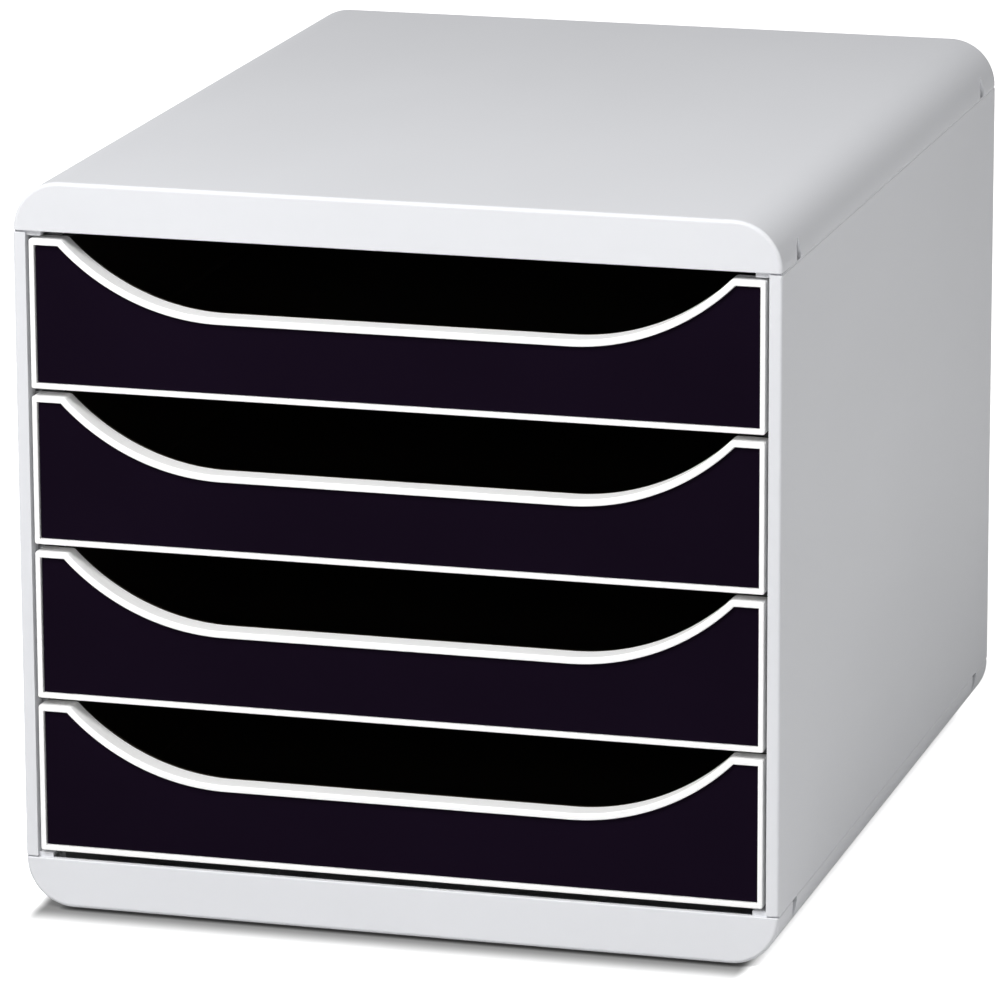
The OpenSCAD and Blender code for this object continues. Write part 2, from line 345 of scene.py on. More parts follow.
def mirrored(obj, axis):
    """A mirrored copy of an object with its own mesh, faces outwards."""
    select_only(obj)
    bpy.ops.object.duplicate()
    copy = bpy.context.object
    copy.scale[axis] = -1
    settle(copy)
    edit(copy, "FACE", lambda centre, normal: True)
    bpy.ops.mesh.normals_make_consistent(inside=False)
    leave()
    return copy


def in_four_corners(make):
    """The shape that make() gives for the right rear corner, and its three mirror images."""
    first = make()
    left = mirrored(first, 0)
    return [first, left, mirrored(first, 1), mirrored(left, 1)]


def soften(obj, radius):
    """Rounds every sharp edge of an object."""
    apply_modifier(
        obj, "BEVEL", width=radius, segments=2, limit_method="ANGLE", angle_limit=SOFT_FROM)


def finish_piece(obj, name, node, body, material):
    """Smooths a piece, names it, and hands it to the body that carries it."""
    obj.name = name
    obj.data.name = name
    select_only(obj)
    bpy.ops.object.shade_smooth_by_angle(angle=SMOOTH)
    apply_modifier(obj, "WEIGHTED_NORMAL", keep_sharp=True, weight=60)
    obj.data.materials.clear()
    obj.data.materials.append(material)
    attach(obj, body)
    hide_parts(node)


def copy_at(obj, shift):
    """A copy of an object with its own mesh, moved by a shift."""
    select_only(obj)
    bpy.ops.object.duplicate()
    copy = bpy.context.object
    copy.location = shift
    return settle(copy)


# ---------------- caps


def cap_shell(casing):
    """The shell of a cap, with its edge at height 0 and its flat face up."""
    half, deep = HALF_WIDTH, REAR_Y
    shell = add_block((-half, -deep, 0), (half, deep, CAP_HEIGHT))
    round_edges(
        shell, casing.corner, CORNER_STEPS,
        lambda a, b: along_y(a, b) and same(a.z, CAP_HEIGHT),
    )
    round_edges(
        shell, casing.edge, 4,
        lambda a, b: same(a.y, b.y) and same(abs(a.y), deep) and max(a.z, b.z) > TOUCH,
    )
    wall = casing.wall
    hollow = add_block(
        (wall - half, wall - deep, -PAST), (half - wall, deep - wall, CAP_HEIGHT - wall))
    round_edges(
        hollow, casing.corner - wall, CORNER_STEPS,
        lambda a, b: along_y(a, b) and same(a.z, CAP_HEIGHT - wall),
    )
    cut_solids(shell, hollow)
    round_edges(
        shell, casing.lip, 3,
        lambda a, b: same(a.z, b.z, 0) and outside_rim(a, casing) and outside_rim(b, casing),
    )
    return shell


def outside_rim(point, casing):
    """Whether a point lies on the outer outline of a cap's edge."""
    near = casing.wall / 2
    return abs(point.x) >= HALF_WIDTH - near or abs(point.y) >= REAR_Y - near


def cap_ribs(casing):
    """The ribs under a cap's flat face."""
    top = CAP_HEIGHT - casing.wall
    foot = top - casing.rib_height
    half = casing.rib / 2
    deep = REAR_Y - casing.wall + OVERLAP
    wide = HALF_WIDTH - casing.corner
    ribs = []
    for x in (-casing.rib_x, 0, casing.rib_x):
        ribs.append(add_block((x - half, -deep, foot), (x + half, deep, top + OVERLAP)))
    for y in (-casing.rib_y, casing.rib_y):
        ribs.append(add_block((-wide, y - half, foot), (wide, y + half, top + OVERLAP)))
    return ribs


# The clips that hold the caps: a stem with a barb, and the ledge in the cap that it hooks
# over. Heights are measured from the seam, and the ledge's start from the stem's inner face.
STEM, STEM_HALF, STEM_HIGH = 1.7 * MM, 4 * MM, 6.5 * MM
BARB, BARB_LOW = 1.2 * MM, 5.3 * MM
LEDGE_START, LEDGE, LEDGE_HALF = 1.9 * MM, 3 * MM, 5 * MM
LEDGE_LOW, LEDGE_HIGH = 3.4 * MM, 5.2 * MM
NOTCH_DEPTH = 6 * MM


def clip_catch(casing):
    """The ledge in a cap that a clip hooks over."""
    inner = HALF_WIDTH - casing.clip_inset + LEDGE_START
    return add_block(
        (inner, casing.clip_y - LEDGE_HALF, LEDGE_LOW),
        (inner + LEDGE, casing.clip_y + LEDGE_HALF, LEDGE_HIGH),
    )


def clip_notch(casing):
    """The cutter of the notch in a cap's edge."""
    half = casing.notch_width / 2
    return add_block(
        (HALF_WIDTH - NOTCH_DEPTH, casing.clip_y - half, -PAST),
        (HALF_WIDTH + PAST, casing.clip_y + half, casing.notch_height),
    )


def clip_recess(casing):
    """The cutter of the flat recess that runs up a cap's corner from the notch."""
    half = casing.recess_width / 2
    return add_block(
        (HALF_WIDTH - casing.recess_depth, casing.clip_y - half, -PAST),
        (HALF_WIDTH + PAST, casing.clip_y + half, casing.corner / 2),
    )


def make_cap(casing):
    """A whole cap, with its edge at height 0 and its flat face up."""
    cap = cap_shell(casing)
    join_solids(cap, *cap_ribs(casing))
    join_solids(cap, *in_four_corners(lambda: clip_catch(casing)))
    cut_solids(cap, *in_four_corners(lambda: clip_notch(casing)))
    cut_solids(cap, *in_four_corners(lambda: clip_recess(casing)))
    return cap


class TRAY_STACK_OT_caps(bpy.types.Operator):
    """Model the top cap and the bottom cap"""

    bl_idname = "tray_stack.caps"
    bl_label = "Caps"

    def execute(self, context):
        casing, finish = settings("casing", "finish")
        top = make_cap(casing)
        bottom = copy_at(top, (0, 0, 0))
        top.location.z = TOP_SEAM
        settle(top)
        bottom.rotation_euler.y = math.pi
        bottom.location.z = BOTTOM_SEAM
        settle(bottom)
        add_foot_pockets(bottom)
        material = stored("casing_grey", finish)
        finish_piece(top, "cap_top", "top_cap", "casing", material)
        finish_piece(bottom, "cap_bottom", "bottom_cap", "casing", material)
        return {"FINISHED"}


def add_foot_pockets(cap):
    """Cuts the pockets that the feet sit in."""
    place = (FOOT_MIDDLE.x, -FOOT_MIDDLE.y, BASE_LOW.z)
    radius, depth = FOOT_RADIUS + POCKET_SLACK, 2 * (FOOT_HIGH.z - BASE_LOW.z)
    cut_solids(cap, *in_four_corners(lambda: add_rod(place, radius, depth, sides=FOOT_SIDES)))


# ---------------- side panels, back, feet

RAIL_END = 0.5 * MM  # from a rail's ends to the tray's front wall and rear
SLACK_BELOW, SLACK_ABOVE = 0.3 * MM, 0.5 * MM  # of a runner between its rails
TONGUE_SLACK = 0.3 * MM  # between the back panel's tongues and the flanges
POCKET_SLACK = 0.2 * MM  # round a foot in its pocket
FOOT_RING = 1.6 * MM  # width of the ring round the dish in a foot's underside
FOOT_SIDES = 64


def clip_solids(casing, seam, way):
    """The clips on one end of the right side panel; way is 1 upwards and -1 downwards."""
    stem_low = HALF_WIDTH - casing.clip_inset
    stem_high = stem_low + STEM
    solids = []
    for y in (-casing.clip_y, casing.clip_y):
        near, far = y - STEM_HALF, y + STEM_HALF
        foot, head, barb = seam - way * OVERLAP, seam + way * STEM_HIGH, seam + way * BARB_LOW
        solids.append(add_block(
            (stem_low, near, min(foot, head)), (stem_high, far, max(foot, head))))
        solids.append(add_block(
            (stem_high - OVERLAP, near, min(barb, head)),
            (stem_high + BARB, far, max(barb, head))))
    return solids


def panel_rails(casing, tray):
    """The rails that the drawers' runners slide between, on the right side panel."""
    outer = HALF_WIDTH - casing.wall + OVERLAP
    inner = HALF_WIDTH - casing.wall - casing.rail_reach
    front = FRAME_BACK + tray.wall + RAIL_END
    rear = TRAY_HIGH.y + RAIL_END
    rails = []
    for number in DRAWERS:
        runner = drawer_foot(number) + tray.height
        under = runner - tray.runner - SLACK_BELOW
        over = runner + SLACK_ABOVE
        for low, high in ((under - casing.rail, under), (over, over + casing.rail)):
            rail = add_block((inner, front, low), (outer, rear, high))
            round_edges(
                rail, casing.soft, 2,
                lambda a, b: same(a.x, b.x, inner) or (along_z(a, b) and same(a.y, front)),
            )
            rails.append(rail)
    return rails


def make_side_panel(casing, tray):
    """The right side panel."""
    half, wall, seam = HALF_WIDTH, casing.wall, casing.seam
    groove = casing.seam_front
    panel = add_block(
        (half - wall, FRONT_Y, BOTTOM_SEAM + seam), (half, REAR_Y, TOP_SEAM - seam))
    round_edges(
        panel, casing.post_edge, 4,
        lambda a, b: along_z(a, b) and same(a.x, half),
    )
    round_edges(
        panel, casing.soft, 2,
        lambda a, b: same(a.z, b.z) and max(a.x, b.x) > half - casing.post_edge - TOUCH,
    )
    core = add_block(
        (half - wall, FRONT_Y + groove, BOTTOM_SEAM),
        (half - casing.seam_side, REAR_Y - groove, TOP_SEAM))
    posts = []
    for way in (-1, 1):
        outer = way * REAR_Y
        inner = outer - way * casing.post_depth
        low_y, high_y = sorted((outer, inner))
        post = add_block(
            (half - casing.post_width, low_y, BOTTOM_SEAM + seam),
            (half - wall + OVERLAP, high_y, TOP_SEAM - seam))
        round_edges(
            post, casing.soft, 2,
            lambda a, b: along_z(a, b) and same(a.x, half - casing.post_width),
        )
        posts.append(post)
    flanges = []
    for low in (BOTTOM_SEAM, TOP_SEAM - casing.flange):
        flange = add_block(
            (half - casing.flange_width, FRONT_Y + groove, low),
            (half - wall + OVERLAP, REAR_Y - groove, low + casing.flange))
        round_edges(
            flange, casing.soft, 2,
            lambda a, b: same(a.x, b.x, half - casing.flange_width),
        )
        flanges.append(flange)
    join_solids(panel, core, *posts, *flanges, *panel_rails(casing, tray))
    join_solids(panel, *clip_solids(casing, TOP_SEAM, 1), *clip_solids(casing, BOTTOM_SEAM, -1))
    slot = add_block(
        (half - casing.post_width - PAST, BACK_LOW.y - casing.back_slack,
         BOTTOM_SEAM + casing.flange),
        (half - wall, BACK_HIGH.y + casing.back_slack, TOP_SEAM - casing.flange))
    cut_solids(panel, slot)
    return panel


class TRAY_STACK_OT_side_panels(bpy.types.Operator):
    """Model the two side panels with their rails and clips"""

    bl_idname = "tray_stack.side_panels"
    bl_label = "Side Panels"

    def execute(self, context):
        casing, tray, finish = settings("casing", "tray", "finish")
        right = make_side_panel(casing, tray)
        left = mirrored(right, 0)
        material = stored("casing_grey", finish)
        for obj, side in ((right, "right"), (left, "left")):
            finish_piece(
                obj, f"side_{side}", f"side_panel_{side}", "casing", material)
        return {"FINISHED"}


class TRAY_STACK_OT_back_panel(bpy.types.Operator):
    """Model the back panel with its tongues"""

    bl_idname = "tray_stack.back_panel"
    bl_label = "Back Panel"

    def execute(self, context):
        casing, finish = settings("casing", "finish")
        gap = casing.flange + casing.back_slack
        back = add_block(
            (BACK_LOW.x, BACK_LOW.y, BOTTOM_SEAM + gap),
            (BACK_HIGH.x, BACK_HIGH.y, TOP_SEAM - gap))
        tongue_half = HALF_WIDTH - casing.flange_width - TONGUE_SLACK
        tongue = add_block(
            (-tongue_half, BACK_LOW.y, BACK_LOW.z), (tongue_half, BACK_HIGH.y, BACK_HIGH.z))
        join_solids(back, tongue)
        soften(back, casing.soft)
        finish_piece(
            back, "back", "back_panel", "casing", stored("casing_grey", finish))
        return {"FINISHED"}


class TRAY_STACK_OT_feet(bpy.types.Operator):
    """Model the four rubber feet"""

    bl_idname = "tray_stack.feet"
    bl_label = "Feet"

    def execute(self, context):
        casing, finish = settings("casing", "finish")
        foot = add_rod(
            (0, 0, FOOT_MIDDLE.z), FOOT_RADIUS, FOOT_HIGH.z - FOOT_LOW.z, sides=FOOT_SIDES)
        edit(foot, "FACE", lambda centre, normal: normal.z < -0.99)
        bpy.ops.mesh.inset(thickness=FOOT_RING)
        bpy.ops.mesh.extrude_region_move(
            TRANSFORM_OT_translate={"value": (0, 0, casing.foot_hollow)})
        leave()
        soften(foot, casing.soft)
        material = stored("foot_rubber", finish)
        for way, depth in ((-1, "front"), (1, "rear")):
            for hand, side in ((-1, "left"), (1, "right")):
                copy = copy_at(foot, (hand * FOOT_MIDDLE.x, way * abs(FOOT_MIDDLE.y), 0))
                finish_piece(
                    copy, f"foot_pad_{depth}_{side}", f"foot_{depth}_{side}", "casing",
                    material)
        bpy.data.objects.remove(foot)
        return {"FINISHED"}


# ---------------- drawer fronts

SCOOP_STEPS, SCOOP_TURN = 48, math.radians(58)  # of a rising end, past the front's outline
SCOOP_CLEAR = 40 * MM  # height of the cutter's middle, past the front's outline
PEGS = ((112 * MM, 24 * MM), (44 * MM, 13 * MM))  # from the middle and from the foot


def scoop_cutter(front, inset, low_y, high_y):
    """The space above the scoop's edge: a block whose ends are spun upwards."""
    half = front.flat / 2
    low = front.scoop_height - inset
    centre = front.scoop_height + front.scoop_radius
    cutter = add_block((-half, low_y, low), (half, high_y, low + SCOOP_CLEAR))
    for hand in (1, -1):
        edit(cutter, "FACE", lambda middle, normal: normal.x * hand > 0.99)
        bpy.ops.mesh.spin(
            steps=SCOOP_STEPS, angle=hand * SCOOP_TURN, center=(hand * half, 0, centre),
            axis=(0, 1, 0), use_auto_merge=False,
        )
        leave()
    edit(cutter, "FACE", lambda middle, normal: True)
    bpy.ops.mesh.remove_doubles(threshold=TOUCH / 4)
    bpy.ops.mesh.normals_make_consistent(inside=False)
    leave()
    return cutter


def front_solid(front, low_y, high_y, side, shoulder, along_scoop, corner=0.0):
    """A drawer front's outline as a solid, drawn in at the sides, shoulders and scoop."""
    half = FRONT_HALF_WIDTH - side
    solid = add_block((-half, low_y, side), (half, high_y, FRONT_HEIGHT - shoulder))
    cut_solids(solid, scoop_cutter(front, along_scoop, low_y - PAST, high_y + PAST))
    if corner:
        top = FRONT_HEIGHT - shoulder
        round_edges(
            solid, corner, 4,
            lambda a, b: along_y(a, b) and (same(a.z, top) or same(abs(a.x), half)),
        )
    return solid


def insets(front, *more):
    """How far an outline lies within the front's at the sides, the shoulders and the scoop."""
    return [sum(more, width) for width in (front.rim, front.rim_shoulder, front.rim_scoop)]


def make_front_frame(front):
    """The frame round a drawer's front, with its foot at height 0."""
    panel_back = FRONT_Y + front.recess + front.panel
    ring = front_solid(front, FRONT_Y, FRAME_BACK, 0, 0, 0, corner=front.corner)
    pocket = front_solid(front, FRONT_Y - PAST, panel_back, *insets(front))
    window = front_solid(
        front, FRONT_Y - PAST, FRAME_BACK + PAST, *insets(front, front.ledge))
    cut_solids(ring, pocket, window)
    for y in (FRONT_Y, FRAME_BACK):
        round_edges(ring, front.edge, 3, lambda a, b: same(a.y, b.y, y))
    return ring


def make_front_panel(front):
    """A drawer's front panel with its pegs, with the front's foot at height 0."""
    low_y = FRONT_Y + front.recess
    high_y = low_y + front.panel
    panel = front_solid(front, low_y, high_y, *insets(front, front.slack))
    round_edges(panel, front.panel_edge, 3, lambda a, b: same(a.y, b.y, low_y))
    depth = PANEL_HIGH.y - high_y + OVERLAP
    pegs = [
        add_rod((x, high_y - OVERLAP + depth / 2, z), front.peg, depth, axis="Y")
        for x, z in peg_places()
    ]
    return join_solids(panel, *pegs)


def peg_places():
    """Where the pegs behind a front panel are, across and above the foot."""
    return [(hand * x, z) for x, z in PEGS for hand in (-1, 1)]


class TRAY_STACK_OT_fronts(bpy.types.Operator):
    """Model each drawer's frame and front panel"""

    bl_idname = "tray_stack.fronts"
    bl_label = "Drawer Fronts"

    def execute(self, context):
        front, finish = settings("front", "finish")
        ring = make_front_frame(front)
        panel = make_front_panel(front)
        rim, black = stored("rim_white", finish), stored("panel_black", finish)
        for number in DRAWERS:
            body, shift = f"drawer_{number}", (0, 0, drawer_foot(number))
            finish_piece(
                copy_at(ring, shift), f"frame_{number}", f"front_frame_{number}", body,
                rim)
            finish_piece(
                copy_at(panel, shift), f"panel_{number}", f"front_panel_{number}", body,
                black)
        bpy.data.objects.remove(ring)
        bpy.data.objects.remove(panel)
        return {"FINISHED"}


# ---------------- trays

RUNNER_REACH = 0.4 * MM  # how far a runner stands out past the front's side
RUNNER_EDGE = 0.3 * MM  # rounding of a runner's outer edges


def tray_half_width(casing, tray):
    """From the middle to the outer face of a tray's side wall."""
    return HALF_WIDTH - casing.wall - casing.rail_reach - tray.runner_gap


def tray_box(casing, tray):
    """The tray's floor and four walls, hollowed from a block."""
    half = tray_half_width(casing, tray)
    rear = TRAY_HIGH.y
    box = add_block((-half, FRAME_BACK, tray.lift), (half, rear, tray.height))
    round_edges(box, tray.corner, 8, lambda a, b: along_z(a, b) and same(a.y, rear))
    edit(box, "FACE", lambda centre, normal: normal.z > 0.99)
    bpy.ops.mesh.inset(thickness=tray.wall, use_even_offset=True)
    depth = tray.height - tray.lift - tray.floor
    bpy.ops.mesh.extrude_region_move(TRANSFORM_OT_translate={"value": (0, 0, -depth)})
    leave()
    floor = tray.lift + tray.floor
    round_edges(box, tray.fillet, 4, lambda a, b: same(a.z, b.z, floor))
    round_edges(box, tray.edge, 3, lambda a, b: same(a.z, b.z, tray.height))
    round_edges(box, tray.edge, 3, lambda a, b: same(a.z, b.z, tray.lift))
    return box


def tray_runners(casing, tray):
    """The runner on the right-hand wall, with the ear that stops the drawer."""
    inner = tray_half_width(casing, tray) - tray.wall / 2
    runner_half = FRONT_HALF_WIDTH + RUNNER_REACH
    rear = TRAY_HIGH.y - tray.corner
    low, high = tray.height - tray.runner, tray.height
    runner = add_block((inner, FRAME_BACK, low), (runner_half, rear, high))
    ear = add_block((inner, rear - tray.ear_length, low), (TRAY_HIGH.x, rear, high))
    for solid, reach in ((runner, runner_half), (ear, TRAY_HIGH.x)):
        round_edges(solid, RUNNER_EDGE, 2, lambda a, b: same(a.x, b.x, reach))
    return [runner, ear]


def make_tray(casing, front, tray):
    """A whole tray, with the foot of its front at height 0."""
    box = tray_box(casing, tray)
    back = FRAME_BACK + tray.wall
    inset = tray.wall_inset
    plate = front_solid(front, FRAME_BACK, back, inset, inset, inset)
    pad = front_solid(
        front, FRAME_BACK - tray.pad, FRAME_BACK + OVERLAP,
        *insets(front, front.ledge, tray.pad_slack))
    runners = tray_runners(casing, tray)
    runners += [mirrored(solid, 0) for solid in runners]
    cut_solids(box, scoop_cutter(front, inset, FRAME_BACK - PAST, back + OVERLAP))
    join_solids(box, plate, pad, *runners)
    low_y, high_y = FRAME_BACK - tray.pad - PAST, back + PAST
    holes = [
        add_rod((x, (low_y + high_y) / 2, z), front.peg_hole, high_y - low_y, axis="Y")
        for x, z in peg_places()
    ]
    return cut_solids(box, *holes)


class TRAY_STACK_OT_trays(bpy.types.Operator):
    """Model the four trays with their runners"""

    bl_idname = "tray_stack.trays"
    bl_label = "Trays"

    def execute(self, context):
        casing, front, tray, finish = settings("casing", "front", "tray", "finish")
        first = make_tray(casing, front, tray)
        material = stored("tray_black", finish)
        for number in DRAWERS:
            finish_piece(
                copy_at(first, (0, 0, drawer_foot(number))), f"tray_{number}",
                f"drawer_tray_{number}", f"drawer_{number}", material)
        bpy.data.objects.remove(first)
        return {"FINISHED"}


# ---------------- materials


def new_group(name, inputs, outputs):
    """A shader node group with its named inputs and outputs, and the nodes of both."""
    group = bpy.data.node_groups.new(name, "ShaderNodeTree")
    for label, kind, default in inputs:
        socket = group.interface.new_socket(
            label, in_out="INPUT", socket_type="NodeSocket" + kind)
        socket.default_value = default
    for label in outputs:
        group.interface.new_socket(label, in_out="OUTPUT", socket_type="NodeSocketFloat")
    source = group.nodes.new("NodeGroupInput")
    target = group.nodes.new("NodeGroupOutput")
    return group, source, target


def add_node(tree, kind, values=None, **details):
    """A shader node with its settings, and values for its named or numbered inputs."""
    node = tree.nodes.new("ShaderNode" + kind)
    for name, value in details.items():
        setattr(node, name, value)
    for socket, value in (values or {}).items():
        node.inputs[socket].default_value = value
    return node


def maths(tree, operation, values=None, **details):
    """A node that does one sum."""
    return add_node(tree, "Math", values, operation=operation, **details)


def wire(tree, *links):
    """Links nodes: each link is a node and its output, then a node and its input."""
    for source, output, target, entry in links:
        tree.links.new(source.outputs[output], target.inputs[entry])


def grain_group():
    """Fine texture of a moulded surface: a height and a mask of the same grain."""
    group, source, target = new_group(
        "Moulded Grain",
        [("Scale", "Float", 1800.0), ("Coarse Share", "Float", 0.4)],
        ["Height", "Mask"])
    place = add_node(group, "TexCoord")
    fine = add_node(group, "TexNoise", {"Detail": 2.0, "Roughness": 0.6})
    coarse = add_node(group, "TexNoise", {"Detail": 1.0, "Roughness": 0.5})
    coarser = maths(group, "MULTIPLY", {1: 0.3})
    mix = add_node(group, "Mix", data_type="FLOAT")
    wire(
        group,
        (place, "Object", fine, "Vector"),
        (place, "Object", coarse, "Vector"),
        (source, "Scale", fine, "Scale"),
        (source, "Scale", coarser, 0),
        (coarser, 0, coarse, "Scale"),
        (source, "Coarse Share", mix, "Factor"),
        (fine, "Fac", mix, "A"),
        (coarse, "Fac", mix, "B"),
        (mix, "Result", target, "Height"),
        (mix, "Result", target, "Mask"),
    )
    return group


def cloud_group():
    """Slow variation over a surface, from melt flow and handling."""
    group, source, target = new_group(
        "Slow Variation",
        [("Scale", "Float", 9.0), ("Stretch", "Float", 0.4)],
        ["Mask"])
    place = add_node(group, "TexCoord")
    split = add_node(group, "SeparateXYZ")
    shrink = maths(group, "MULTIPLY")
    gather = add_node(group, "CombineXYZ")
    noise = add_node(group, "TexNoise", {"Detail": 3.0, "Roughness": 0.55})
    ramp = add_node(
        group, "MapRange", {"From Min": 0.3, "From Max": 0.7},
        interpolation_type="SMOOTHSTEP")
    wire(
        group,
        (place, "Object", split, 0),
        (split, "Y", shrink, 0),
        (source, "Stretch", shrink, 1),
        (split, "X", gather, "X"),
        (shrink, 0, gather, "Y"),
        (split, "Z", gather, "Z"),
        (gather, 0, noise, "Vector"),
        (source, "Scale", noise, "Scale"),
        (noise, "Fac", ramp, "Value"),
        (ramp, "Result", target, "Mask"),
    )
    return group


def rubbed_edge_sheen_group():
    """A mask of the rounded edges, where handling polishes a surface and where a painted sheen
    lightens the colour.
    """
    group, source, target = new_group(
        "Rubbed Edge", [("Strength", "Float", 6.0)], ["Mask"])
    bevel = add_node(group, "Bevel", {"Radius": 0.8 * MM}, samples=4)
    surface = add_node(group, "NewGeometry")
    dot = add_node(group, "VectorMath", operation="DOT_PRODUCT")
    flip = maths(group, "SUBTRACT", {0: 1.0})
    grow = maths(group, "MULTIPLY", use_clamp=True)
    wire(
        group,
        (bevel, "Normal", dot, 0),
        (surface, "True Normal", dot, 1),
        (dot, "Value", flip, 1),
        (flip, 0, grow, 0),
        (source, "Strength", grow, 1),
        (grow, 0, target, "Mask"),
    )
    return group


def shared_node(tree, name, make):
    """A node of the group of this name, which is made when it is first asked for."""
    return add_node(tree, "Group", node_tree=bpy.data.node_groups.get(name) or make())


def new_material(name):
    """An empty material with its Principled BSDF, and the tree that they stand in."""
    material = bpy.data.materials.new(name)
    material.use_nodes = True
    tree = material.node_tree
    return material, tree, tree.nodes["Principled BSDF"]


# The plastics and the rubber. rough: roughness from and to. grain: scale and depth. shade: how
# much darker the tint gets in places. edge: how much lighter it is on rubbed edges, partly for
# wear and partly a painted sheen.
SURFACES = {
    "casing_grey": dict(
        tint="casing", rough=(0.42, 0.56), grain=(1800.0, 0.02 * MM), shade=0.975, edge=1.04,
        specular=0.35),
    "rim_white": dict(
        tint="rim", rough=(0.32, 0.44), grain=(2200.0, 0.012 * MM), shade=0.98, edge=1.04,
        specular=0.5),
    "panel_black": dict(
        tint="panel", rough=(0.34, 0.46), grain=(2000.0, 0.012 * MM), shade=0.85, edge=1.6,
        specular=0.01),
    "tray_black": dict(
        tint="tray", rough=(0.42, 0.58), grain=(1500.0, 0.02 * MM), shade=0.8, edge=1.5,
        specular=0.15),
    "foot_rubber": dict(
        tint="foot", rough=(0.7, 0.9), grain=(900.0, 0.05 * MM), shade=0.8, edge=1.3,
        specular=0.3),
}
POLISH = -0.12  # change of the roughness on a rubbed edge


def plastic(name, tint, rough, grain, shade, edge, specular):
    """A moulded surface with slow variation, grain and rubbed edges, whose lighter colour is
    partly a painted sheen.
    """
    material, tree, surface = new_material(name)
    clouds = shared_node(tree, "Slow Variation", cloud_group)
    texture = shared_node(tree, "Moulded Grain", grain_group)
    texture.inputs["Scale"].default_value = grain[0]
    edges = shared_node(tree, "Rubbed Edge", rubbed_edge_sheen_group)
    tone = add_node(tree, "Mix", data_type="RGBA")
    tone.inputs["A"].default_value = (*[c * shade for c in tint], 1)
    tone.inputs["B"].default_value = (*tint, 1)
    # Painted sheen: the tint is made lighter on the rounded edges, partly for wear and partly
    # standing in for their shine.
    rubbed_sheen = add_node(tree, "Mix", data_type="RGBA")
    rubbed_sheen.inputs["B"].default_value = (*[min(c * edge, 1) for c in tint], 1)
    roughness = add_node(
        tree, "MapRange", {"To Min": rough[0], "To Max": rough[1]})
    polish = maths(tree, "MULTIPLY", {1: POLISH})
    total = maths(tree, "ADD", use_clamp=True)
    bump = add_node(tree, "Bump", {"Strength": 1.0, "Distance": grain[1]})
    wire(
        tree,
        (clouds, "Mask", tone, "Factor"),
        (tone, "Result", rubbed_sheen, "A"),
        (edges, "Mask", rubbed_sheen, "Factor"),
        (rubbed_sheen, "Result", surface, "Base Color"),
        (texture, "Mask", roughness, "Value"),
        (edges, "Mask", polish, 0),
        (roughness, "Result", total, 0),
        (polish, 0, total, 1),
        (total, 0, surface, "Roughness"),
        (texture, "Height", bump, "Height"),
        (bump, "Normal", surface, "Normal"),
    )
    surface.inputs["Specular IOR Level"].default_value = specular
    return material


def stored(name, finish):
    """The material of this name, made when it is first asked for."""
    known = bpy.data.materials.get(name)
    if known:
        return known
    values = dict(SURFACES[name])
    return plastic(name, getattr(finish, values.pop("tint")), **values)


# ---------------- stage

# The lamps, named as their powers are: where each one is and how wide, in metres.
LAMPS = {
    "key": ((-0.35, -1.25, 1.75), 0.8),
    "left": ((-0.75, -1.45, 1.5), 0.8),
    "side": ((1.1, 0, 0.45), 0.5),
    "low": ((0.5, -2.2, 0.75), 0.4),
    "back": ((-1.8, 1.3, 0.35), 0.8),
}
AIM = Vector((0, 0, 0.14))  # what they all point at
WHITE = (1, 1, 1, 1)


def shadow_group():
    """Painted shadow on the floor: how light it is, 1 clear of the object, less at its foot and
    just before it.
    """
    group, source, target = new_group(
        "Shadow",
        [("Middle", "Vector", (0, 0, 0)), ("Half", "Vector", (0, 0, 0)),
         ("Reach", "Vector", (1, 1, 1)), ("Darkest", "Float", 0.2),
         ("Contact", "Float", 0.01)],
        ["Light"])
    place = add_node(group, "TexCoord")
    steps = [add_node(group, "VectorMath", operation=kind) for kind in (
        "SUBTRACT", "ABSOLUTE", "SUBTRACT", "MAXIMUM", "DIVIDE", "LENGTH")]
    from_middle, _, beyond, _, scaled, far = steps
    soft = add_node(group, "MapRange", interpolation_type="SMOOTHSTEP")
    nearby = add_node(group, "AmbientOcclusion", samples=16)
    total = maths(group, "MULTIPLY")
    wire(
        group,
        (place, "Object", from_middle, 0),
        (source, "Middle", from_middle, 1),
        *[(one, "Vector", other, 0) for one, other in zip(steps, steps[1:])],
        (source, "Half", beyond, 1),
        (source, "Reach", scaled, 1),
        (far, "Value", soft, "Value"),
        (source, "Darkest", soft, "To Min"),
        (source, "Contact", nearby, "Distance"),
        (soft, "Result", total, 0),
        (nearby, "AO", total, 1),
        (total, 0, target, "Light"),
    )
    return group


